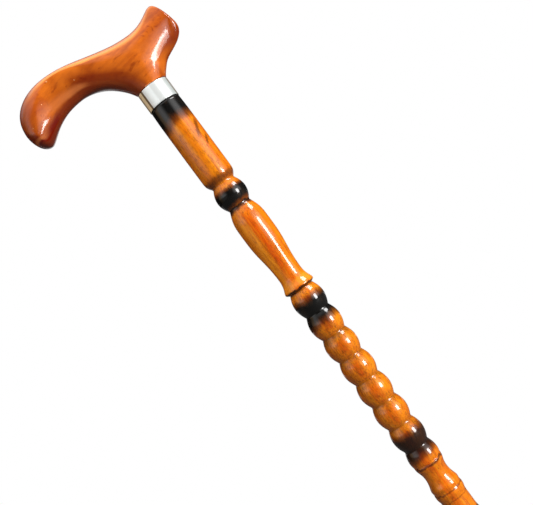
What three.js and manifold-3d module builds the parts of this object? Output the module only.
// Walking stick: a carved derby handle and a turned bead-and-vase shaft, joined by a steel rod
// under a plated collar, on a rubber ferrule.
// Units are millimetres. +Z runs up the shaft, the nose of the handle points to -X, and the
// origin is the middle of the ferrule's tread.
import * as THREE from "three";
import { ParametricGeometry } from "three/addons/geometries/ParametricGeometry.js";
import { mergeVertices } from "three/addons/utils/BufferGeometryUtils.js";
import Module from "manifold-3d";

const wasm = await Module();
wasm.setup();

// The whole stick
const STICK_HEIGHT = 914;
const SEAT_GAP = 0.3; // between faces that meet, filled with glue or simply pressed together
const FIT_GAP = 0.3; // radial, round a spigot, a rod or the foot in its socket

// Collar: a drawn tube that hides the joint between handle and shaft
const COLLAR_RADIUS = 12.4;
const COLLAR_WALL = 0.8;
const COLLAR_LENGTH = 15;
const SPIGOT_CLEARANCE = 0.4; // between the two spigots' ends, halfway down the collar

// Rod: a steel stud glued into the handle and the shaft
const ROD_RADIUS = 4;
const ROD_IN_HANDLE = 34;
const ROD_IN_SHAFT = 42;
const ROD_CHAMFER = 0.8;

// Handle outline: reaches from the shaft's axis, and rises above the handle's foot
const NECK_FRONT_FLARE = 12.4; // how far the neck has spread where it turns into the arch
const NECK_FRONT_RISE = 15.5;
const ARCH_REACH = 47;
const ARCH_RISE = 22.9;
const NOSE_TIP_SETBACK = 10.4; // lowest point of the nose, behind its foremost point
const NOSE_TIP_RISE = 8.2;
const NOSE_REACH = 94.5;
const NOSE_FRONT_RISE = 25.5;
const CROWN_REACH = 60.5;
const CROWN_RISE = 52;
const SADDLE_REACH = 7;
const SADDLE_RISE = 40.5;
const HORN_TIP_SETBACK = 9.2;
const HORN_TIP_RISE = 49.3;
const HORN_REACH = 41.7;
const HORN_END_RISE = 29;
const HORN_HEEL_SETBACK = 13.7;
const HORN_HEEL_RISE = 13.2;
const NECK_BACK_FLARE = 6.5;
const NECK_BACK_RISE = 7.9;

// How the outline runs through each of its bends: its heading in degrees, anticlockwise from +X,
// how far it holds that heading before and after the bend, and how full the handle's section is
// there. Plain round is an ellipse; a fuller section keeps flatter sides and turns in more sharply,
// a less full one rises to a soft ridge along the spine.
const PLAIN_ROUND = 2;
const FOOT_FRONT_RUN = { heading: 114.5, before: 0, after: 6, fullness: PLAIN_ROUND };
const NECK_FRONT_RUN = { heading: 140, before: 7.2, after: 7.7, fullness: 2.8 };
const ARCH_RUN = { heading: 180, before: 9, after: 23, fullness: 2.5 };
const NOSE_TIP_RUN = { heading: 180, before: 5, after: 7, fullness: 2.2 };
const NOSE_RUN = { heading: 90, before: 8.5, after: 15.5, fullness: PLAIN_ROUND };
const CROWN_RUN = { heading: 0, before: 21, after: 23.5, fullness: 2.2 };
const SADDLE_RUN = { heading: 0, before: 23, after: 14.5, fullness: 2.2 };
const HORN_TIP_RUN = { heading: 0, before: 5, after: 4.5, fullness: PLAIN_ROUND };
const HORN_RUN = { heading: -81.5, before: 8.1, after: 7.6, fullness: 1.8 };
const HORN_HEEL_RUN = { heading: -157, before: 9.2, after: 3.7, fullness: 1.7 };
const NECK_BACK_RUN = { heading: -133, before: 3.5, after: 3.3, fullness: 1.8 };
const FOOT_BACK_RUN = { heading: -118, before: 3.4, after: 0, fullness: PLAIN_ROUND };

// Handle spine: the line that the outline is rounded towards, up the neck, along the grip to the
// nose and back into the horn, with half of the handle's thickness at each of its points
const THROAT_SETBACK = 2; // behind the shaft's axis
const THROAT_RISE = 21;
const THROAT_HALF = 12.6;
const GRIP_HALF = 8.8; // the fingers' waist of the handle
const GRIP_CREST = 0.8; // how high up the grip its sides are thickest, as a share of its height
const NOSE_CORE_REACH = 1; // fullest point of the nose, in front of the lowest one
const NOSE_CORE_RISE = 12; // and above it
const NOSE_HALF = 13.5;
const NOSE_SWELL_START = 0.1; // where the nose starts to swell, as a share of the way to its core
const NOSE_SWELL_END = 0.85;
const HORN_CORE = 3; // inside the horn's end
const HORN_CORE_RISE = 34;
const HORN_HALF = 4.5;
const THROAT_RUN = { heading: 168, before: 0, after: 19.9 };
const GRIP_RUN = { heading: 181.5, before: 19.5, after: 13.7 };
const NOSE_CORE_RUN = { heading: -112, before: 18, after: 0 };

// Turned shaft, from the collar down: lengths along the axis and radii
const BARREL_TOP_RADIUS = 12.05;
const BARREL_RADIUS = 12.4;
const BARREL_SWELL = 14.5; // length over which the barrel swells to its full radius
const BARREL_STRAIGHT = 49.5;
const BARREL_END = 7;
const BALL_NECK_RADIUS = 9.1;
const BALL_RADIUS = 12.35;
const BALL_LENGTH = 19.7;
const VASE_TOP_RADIUS = 8.6;
const VASE_SHOULDER = 14;
const VASE_RADIUS = 12.4;
const VASE_STRAIGHT = 11;
const VASE_UPPER_TAPER = 17.7;
const VASE_MIDDLE_RADIUS = 10.95;
const VASE_LOWER_TAPER = 18.8;
const VASE_WAIST_RADIUS = 9.45;
const VASE_FLARE = 9.6;
const FLANGE_RADIUS = 12.15;
const FLANGE_LENGTH = 1.6;
const FLANGE_UNDERCUT = 1.5;
const FLANGE_GROOVE_RADIUS = 9.9;
const BEAD_COUNT = 7;
const BEAD_PITCH = 19.7;
const BEAD_RADIUS = 12.5;
const BEAD_GROOVE_RADIUS = 9.65;
const CUP_SWELL = 8.5; // the cup is the bead that ends the row, cut off below its middle
const CUP_FALL = 4.5;
const CUP_RADIUS = 11.85;
const CUP_END_RADIUS = 11.1;
const STEP_LENGTH = 2.6;
const STEP_RADIUS = 11.25;
const COVE_FALL = 8.2;
const COVE_RADIUS = 9.3;
const COVE_FLARE = 9.8;
const COVE_END_RADIUS = 11.6;
const RING_GROOVE_LENGTH = 2.4;
const RING_GROOVE_RADIUS = 10.9;
const RING_SWELL = 3;
const RING_FALL = 4.6;
const RING_RADIUS = 11.4;
const PLAIN_LENGTH = 15.5;
const PLAIN_RADIUS = 10.4;
const LOWER_BALL_LENGTH = 19.7;
const LOWER_BALL_RADIUS = 12.35;
const LOWER_BALL_GROOVE_RADIUS = 9.2;
const TAPER_SHOULDER = 9;
const TAPER_TOP_RADIUS = 11.6;
const FOOT_RADIUS = 9.2;
const FOOT_CHAMFER = 0.8;

// Ferrule, and the washer that spreads the load in it
const FERRULE_WALL = 2.6;
const FERRULE_SOCKET = 33;
const FERRULE_RIM = 3.4;
const FERRULE_RIM_BEAD = 0.9;
const FERRULE_SOLE = 9;
const FERRULE_BASE_RADIUS = 17;
const FERRULE_BASE_EDGE = 4.5;
const FERRULE_FLARE = 16;
const FERRULE_FLARE_KNEE = 9; // where the two curves of the flare meet
const FERRULE_KNEE_RADIUS = 14.2;
const TREAD_GROOVE_WIDTH = 1.8;
const TREAD_GROOVE_DEPTH = 2;
const TREAD_GROOVES = 3;
const WASHER_THICKNESS = 1.6;
const WASHER_RADIUS = 9;
const WASHER_HOLE_RADIUS = 2.2;

// Facets
const ROUND_SIDES = 28;
const CURVE_STEPS = 4;
const OUTLINE_STEPS = 7;
const SECTION_STEPS = 16;
const ROUNDING = 1e-6; // keeps a whole number of stretches whole
const CUT_MARGIN = 1; // how far a cutter or a joined bar runs on past the face that it meets

// Heights above the ground that follow from the sizes above
const handleFoot = STICK_HEIGHT - CROWN_RISE;
const collarBottom = handleFoot - SEAT_GAP - COLLAR_LENGTH;
const jointPlane = collarBottom + COLLAR_LENGTH / 2;
const shaftShoulder = collarBottom - SEAT_GAP;
const ferruleTop = FERRULE_SOLE + FERRULE_SOCKET;
const washerBottom = FERRULE_SOLE + SEAT_GAP;
const shaftFoot = washerBottom + WASHER_THICKNESS + SEAT_GAP;

// Radii that follow from them
const collarInnerRadius = COLLAR_RADIUS - COLLAR_WALL;
const spigotRadius = collarInnerRadius - FIT_GAP;
const boreRadius = ROD_RADIUS + FIT_GAP;
const socketRadius = FOOT_RADIUS + FIT_GAP;

const handleWood = new THREE.MeshStandardMaterial({ color: 0xb3480f, roughness: 0.28, metalness: 0 });
const shaftWood = new THREE.MeshStandardMaterial({ color: 0xd9790f, roughness: 0.22, metalness: 0 });
const polishedSteel = new THREE.MeshStandardMaterial({ color: 0xdfe3e4, roughness: 0.12, metalness: 1 });
const plainSteel = new THREE.MeshStandardMaterial({ color: 0x9a9c9e, roughness: 0.4, metalness: 1 });
const blackRubber = new THREE.MeshStandardMaterial({ color: 0x1b1b1c, roughness: 0.75, metalness: 0 });

// A solid of revolution round Z, from a closed profile of radius and height drawn either way
function turned(profile) {
  const points = profile.getPoints(CURVE_STEPS);
  if (THREE.ShapeUtils.isClockWise(points)) points.reverse();
  return new THREE.LatheGeometry(points, ROUND_SIDES).rotateX(Math.PI / 2);
}

// A geometry as a solid that can be joined and cut
function toSolid(geometry) {
  const bare = geometry.clone();
  bare.deleteAttribute("normal");
  bare.deleteAttribute("uv");
  const merged = mergeVertices(bare, 1e-4);
  return new wasm.Manifold(
    new wasm.Mesh({
      numProp: 3,
      vertProperties: merged.attributes.position.array,
      triVerts: new Uint32Array(merged.index.array),
    }),
  );
}

// A solid as a geometry that a mesh can show
function toGeometry(solid) {
  const mesh = solid.getMesh();
  const geometry = new THREE.BufferGeometry()
    .setAttribute("position", new THREE.BufferAttribute(mesh.vertProperties, 3))
    .setIndex(new THREE.BufferAttribute(mesh.triVerts, 1));
  geometry.computeVertexNormals();
  return geometry;
}

// A plain round bar between two heights
function roundBar(radius, bottom, top) {
  const profile = new THREE.Path();
  profile.moveTo(0, bottom);
  profile.lineTo(radius, bottom);
  profile.lineTo(radius, top);
  profile.lineTo(0, top);
  return turned(profile);
}

// A point of a curve, with the ends of the stretches that its run holds before and after it, and
// with the run's fullness where it has one
function bend(x, z, run) {
  const at = new THREE.Vector2(x, z);
  const angle = THREE.MathUtils.degToRad(run.heading);
  const heading = new THREE.Vector2(Math.cos(angle), Math.sin(angle));
  return {
    at,
    arrive: at.clone().addScaledVector(heading, -run.before),
    leave: at.clone().addScaledVector(heading, run.after),
    fullness: run.fullness,
  };
}

// The curve from one bend to the next
function curveBetween(from, to) {
  return new THREE.CubicBezierCurve(from.at, from.leave, to.arrive, to.at);
}

// The outline of the handle, seen from the side: from the middle of its foot out to the front of
// the neck, along the arch, round the nose, over the crown and the saddle, round the horn and back
function handleOutline() {
  const foot = { at: new THREE.Vector2(0, 0), fullness: PLAIN_ROUND };
  const bends = [
    bend(-COLLAR_RADIUS, 0, FOOT_FRONT_RUN),
    bend(-COLLAR_RADIUS - NECK_FRONT_FLARE, NECK_FRONT_RISE, NECK_FRONT_RUN),
    bend(-ARCH_REACH, ARCH_RISE, ARCH_RUN),
    bend(NOSE_TIP_SETBACK - NOSE_REACH, NOSE_TIP_RISE, NOSE_TIP_RUN),
    bend(-NOSE_REACH, NOSE_FRONT_RISE, NOSE_RUN),
    bend(-CROWN_REACH, CROWN_RISE, CROWN_RUN),
    bend(SADDLE_REACH, SADDLE_RISE, SADDLE_RUN),
    bend(HORN_REACH - HORN_TIP_SETBACK, HORN_TIP_RISE, HORN_TIP_RUN),
    bend(HORN_REACH, HORN_END_RISE, HORN_RUN),
    bend(HORN_REACH - HORN_HEEL_SETBACK, HORN_HEEL_RISE, HORN_HEEL_RUN),
    bend(COLLAR_RADIUS + NECK_BACK_FLARE, NECK_BACK_RISE, NECK_BACK_RUN),
    bend(COLLAR_RADIUS, 0, FOOT_BACK_RUN),
  ];
  const stretch = (curve, from, to) => (t) => ({
    at: curve.getPoint(t),
    fullness: THREE.MathUtils.lerp(from.fullness, to.fullness, t),
  });
  const first = bends[0];
  const last = bends.at(-1);
  return [
    stretch(new THREE.LineCurve(foot.at, first.at), foot, first),
    ...bends.slice(1).map((to, i) => stretch(curveBetween(bends[i], to), bends[i], to)),
    stretch(new THREE.LineCurve(last.at, foot.at), last, foot),
  ];
}

// For each stretch of the outline, the stretch of the spine that it is rounded towards. Both
// edges of the handle share the spine, so the sides of the handle meet along it.
function handleSpine() {
  const foot = new THREE.Vector2(0, 0);
  const throat = bend(THROAT_SETBACK, THROAT_RISE, THROAT_RUN);
  const gripReach = (ARCH_REACH + CROWN_REACH) / 2;
  const gripRise = THREE.MathUtils.lerp(ARCH_RISE, CROWN_RISE, GRIP_CREST);
  const grip = bend(-gripReach, gripRise, GRIP_RUN);
  const noseReach = NOSE_REACH - NOSE_TIP_SETBACK + NOSE_CORE_REACH;
  const nose = bend(-noseReach, NOSE_TIP_RISE + NOSE_CORE_RISE, NOSE_CORE_RUN);
  const horn = new THREE.Vector2(HORN_REACH - HORN_CORE, HORN_CORE_RISE);
  const evenly = (t) => t;
  const noseSwell = (t) => THREE.MathUtils.smoothstep(t, NOSE_SWELL_START, NOSE_SWELL_END);
  const stretch = (curve, fromHalf, toHalf, share) => (t) => ({
    at: curve.getPoint(t),
    half: THREE.MathUtils.lerp(fromHalf, toHalf, share(t)),
  });
  const back = (part) => (t) => part(1 - t);
  const neckLine = new THREE.LineCurve(foot, throat.at);
  const hornLine = new THREE.LineCurve(throat.at, horn);
  const neckPart = stretch(neckLine, COLLAR_RADIUS, THROAT_HALF, evenly);
  const gripPart = stretch(curveBetween(throat, grip), THROAT_HALF, GRIP_HALF, evenly);
  const nosePart = stretch(curveBetween(grip, nose), GRIP_HALF, NOSE_HALF, noseSwell);
  const hornPart = stretch(hornLine, THROAT_HALF, HORN_HALF, evenly);
  const atFoot = () => neckPart(0);
  const atNose = () => nosePart(1);
  const atHorn = () => hornPart(1);
  return [
    atFoot, neckPart, gripPart, nosePart, atNose, back(nosePart), back(gripPart),
    hornPart, atHorn, atHorn, back(hornPart), back(neckPart), atFoot,
  ];
}

// A power that keeps the sign of what it is taken of
function signedPower(value, exponent) {
  return Math.sign(value) * Math.abs(value) ** exponent;
}

// The carved body of the handle. A section runs from the spine on one side of the handle, round
// the outline and back to the spine on the other side.
function handleBody() {
  const outline = handleOutline();
  const spine = handleSpine();
  const section = (u, v, target) => {
    const place = u * outline.length;
    const stretch = Math.min(Math.floor(place + ROUNDING), outline.length - 1);
    const t = THREE.MathUtils.clamp(place - stretch, 0, 1);
    const core = spine[stretch](t);
    const edge = outline[stretch](t);
    const outward = edge.at.sub(core.at);
    const power = 2 / edge.fullness;
    const angle = (v - 0.5) * Math.PI;
    const closed = v === 0 || v === 1;
    const out = closed ? 0 : signedPower(Math.cos(angle), power);
    const across = core.half * signedPower(Math.sin(angle), power);
    target.set(core.at.x + outward.x * out, across, core.at.y + outward.y * out);
  };
  return new ParametricGeometry(section, outline.length * OUTLINE_STEPS, SECTION_STEPS);
}

// Handle: the carved body on a turned spigot, bored from below for the rod. Its foot is at 0.
function handle() {
  const spigotEnd = jointPlane + SPIGOT_CLEARANCE / 2 - handleFoot;
  const boreEnd = jointPlane + ROD_IN_HANDLE + SEAT_GAP - handleFoot;
  const body = toSolid(handleBody());
  const spigot = toSolid(roundBar(spigotRadius, spigotEnd, CUT_MARGIN));
  const bore = toSolid(roundBar(boreRadius, spigotEnd - CUT_MARGIN, boreEnd));
  return toGeometry(body.add(spigot).subtract(bore));
}

// A flat-ended ring between two radii, standing on 0
function ring(innerRadius, outerRadius, height) {
  const profile = new THREE.Path();
  profile.moveTo(innerRadius, 0);
  profile.lineTo(outerRadius, 0);
  profile.lineTo(outerRadius, height);
  profile.lineTo(innerRadius, height);
  profile.lineTo(innerRadius, 0);
  return turned(profile);
}

// Rod: a plain stud with chamfered ends, measured from the plane where the spigots meet
function handleRod() {
  const profile = new THREE.Path();
  profile.moveTo(0, -ROD_IN_SHAFT);
  profile.lineTo(ROD_RADIUS - ROD_CHAMFER, -ROD_IN_SHAFT);
  profile.lineTo(ROD_RADIUS, ROD_CHAMFER - ROD_IN_SHAFT);
  profile.lineTo(ROD_RADIUS, ROD_IN_HANDLE - ROD_CHAMFER);
  profile.lineTo(ROD_RADIUS - ROD_CHAMFER, ROD_IN_HANDLE);
  profile.lineTo(0, ROD_IN_HANDLE);
  return turned(profile);
}

// Down to another radius in a straight line
function runTo(profile, radius, drop) {
  profile.lineTo(radius, profile.currentPoint.y - drop);
}

// Down to another radius along a curve that ends parallel to the axis
function easeOnto(profile, radius, drop) {
  const top = profile.currentPoint.y;
  profile.quadraticCurveTo(radius, top - drop / 2, radius, top - drop);
}

// Down to another radius along a curve that starts parallel to the axis
function easeOff(profile, radius, drop) {
  const { x: startRadius, y: top } = profile.currentPoint;
  profile.quadraticCurveTo(startRadius, top - drop / 2, radius, top - drop);
}

// A turned bead: it swells to a radius halfway and falls to the groove below
function bead(profile, length, radius, grooveRadius) {
  easeOnto(profile, radius, length / 2);
  easeOff(profile, grooveRadius, length / 2);
}

// The spigot that fills the collar's lower half, with the rod's bore in it
function shaftSpigot(profile) {
  const spigotTop = jointPlane - SPIGOT_CLEARANCE / 2 - shaftShoulder;
  const boreBottom = jointPlane - ROD_IN_SHAFT - SEAT_GAP - shaftShoulder;
  profile.moveTo(0, boreBottom);
  profile.lineTo(boreRadius, boreBottom);
  profile.lineTo(boreRadius, spigotTop);
  profile.lineTo(spigotRadius, spigotTop);
  profile.lineTo(spigotRadius, 0);
}

// A nearly straight barrel with a rounded end, and the ball on its thin neck
function barrelAndBall(profile) {
  profile.lineTo(BARREL_TOP_RADIUS, 0);
  easeOnto(profile, BARREL_RADIUS, BARREL_SWELL);
  runTo(profile, BARREL_RADIUS, BARREL_STRAIGHT);
  easeOff(profile, BALL_NECK_RADIUS, BARREL_END);
  bead(profile, BALL_LENGTH, BALL_RADIUS, VASE_TOP_RADIUS);
}

// A vase: a round shoulder, a full body, a long taper and a foot that flares to a flange
function vase(profile) {
  easeOnto(profile, VASE_RADIUS, VASE_SHOULDER);
  runTo(profile, VASE_RADIUS, VASE_STRAIGHT);
  easeOff(profile, VASE_MIDDLE_RADIUS, VASE_UPPER_TAPER);
  easeOnto(profile, VASE_WAIST_RADIUS, VASE_LOWER_TAPER);
  easeOff(profile, FLANGE_RADIUS, VASE_FLARE);
  runTo(profile, FLANGE_RADIUS, FLANGE_LENGTH);
  runTo(profile, FLANGE_GROOVE_RADIUS, FLANGE_UNDERCUT);
}

function rowOfBeads(profile) {
  runTo(profile, BEAD_GROOVE_RADIUS, 0);
  for (let i = 0; i < BEAD_COUNT; i++) {
    bead(profile, BEAD_PITCH, BEAD_RADIUS, BEAD_GROOVE_RADIUS);
  }
}

// A cup on a thin step, and the cove that flares from it to a grooved-off ring
function cupAndCove(profile) {
  easeOnto(profile, CUP_RADIUS, CUP_SWELL);
  easeOff(profile, CUP_END_RADIUS, CUP_FALL);
  runTo(profile, STEP_RADIUS, 0);
  runTo(profile, STEP_RADIUS, STEP_LENGTH);
  easeOnto(profile, COVE_RADIUS, COVE_FALL);
  easeOff(profile, COVE_END_RADIUS, COVE_FLARE);
  runTo(profile, RING_GROOVE_RADIUS, RING_GROOVE_LENGTH);
  easeOnto(profile, RING_RADIUS, RING_SWELL);
  easeOff(profile, PLAIN_RADIUS, RING_FALL);
}

// A plain stretch, the lower ball, and the long straight taper down to the foot
function lowerShaft(profile) {
  runTo(profile, PLAIN_RADIUS, PLAIN_LENGTH);
  bead(profile, LOWER_BALL_LENGTH, LOWER_BALL_RADIUS, LOWER_BALL_GROOVE_RADIUS);
  easeOnto(profile, TAPER_TOP_RADIUS, TAPER_SHOULDER);
  const foot = shaftFoot - shaftShoulder;
  profile.lineTo(FOOT_RADIUS, ferruleTop - shaftShoulder);
  profile.lineTo(FOOT_RADIUS, foot + FOOT_CHAMFER);
  profile.lineTo(FOOT_RADIUS - FOOT_CHAMFER, foot);
  profile.lineTo(0, foot);
}

// Shaft: turned in one piece, drawn from its spigot downwards. Its shoulder is at 0.
function shaft() {
  const profile = new THREE.Path();
  shaftSpigot(profile);
  barrelAndBall(profile);
  vase(profile);
  rowOfBeads(profile);
  cupAndCove(profile);
  lowerShaft(profile);
  return turned(profile);
}

// The ring grooves of the tread, from its middle land outwards
function treadGrooves(profile) {
  const pitch = FERRULE_BASE_RADIUS / (TREAD_GROOVES + 1);
  for (let i = 1; i <= TREAD_GROOVES; i++) {
    const inner = i * pitch - TREAD_GROOVE_WIDTH / 2;
    const outer = i * pitch + TREAD_GROOVE_WIDTH / 2;
    profile.lineTo(inner, 0);
    profile.lineTo(inner, TREAD_GROOVE_DEPTH);
    profile.lineTo(outer, TREAD_GROOVE_DEPTH);
    profile.lineTo(outer, 0);
  }
}

// Ferrule: a rubber cup for the foot of the shaft, with a beaded rim and a flared base
function rubberFerrule() {
  const sleeveRadius = socketRadius + FERRULE_WALL;
  const rimBottom = ferruleTop - FERRULE_RIM;
  const rimMiddle = ferruleTop - FERRULE_RIM / 2;
  const profile = new THREE.Path();
  profile.moveTo(0, 0);
  treadGrooves(profile);
  profile.lineTo(FERRULE_BASE_RADIUS, 0);
  profile.lineTo(FERRULE_BASE_RADIUS, FERRULE_BASE_EDGE);
  profile.quadraticCurveTo(
    FERRULE_BASE_RADIUS, (FERRULE_BASE_EDGE + FERRULE_FLARE_KNEE) / 2,
    FERRULE_KNEE_RADIUS, FERRULE_FLARE_KNEE,
  );
  profile.quadraticCurveTo(
    sleeveRadius, (FERRULE_FLARE_KNEE + FERRULE_FLARE) / 2,
    sleeveRadius, FERRULE_FLARE,
  );
  profile.lineTo(sleeveRadius, rimBottom);
  profile.quadraticCurveTo(sleeveRadius + 2 * FERRULE_RIM_BEAD, rimMiddle, sleeveRadius, ferruleTop);
  profile.lineTo(socketRadius, ferruleTop);
  profile.lineTo(socketRadius, FERRULE_SOLE);
  profile.lineTo(0, FERRULE_SOLE);
  return turned(profile);
}

const group = new THREE.Group();

function addPiece(name, geometry, material, height) {
  const mesh = new THREE.Mesh(geometry, material);
  mesh.name = name;
  mesh.position.z = height;
  group.add(mesh);
}

addPiece("handle", handle(), handleWood, handleFoot);
addPiece("collar", ring(collarInnerRadius, COLLAR_RADIUS, COLLAR_LENGTH), polishedSteel, collarBottom);
addPiece("handle_rod", handleRod(), plainSteel, jointPlane);
addPiece("shaft", shaft(), shaftWood, shaftShoulder);
addPiece("rubber_ferrule", rubberFerrule(), blackRubber, 0);
addPiece(
  "ferrule_washer", ring(WASHER_HOLE_RADIUS, WASHER_RADIUS, WASHER_THICKNESS), plainSteel, washerBottom,
);

export default group;
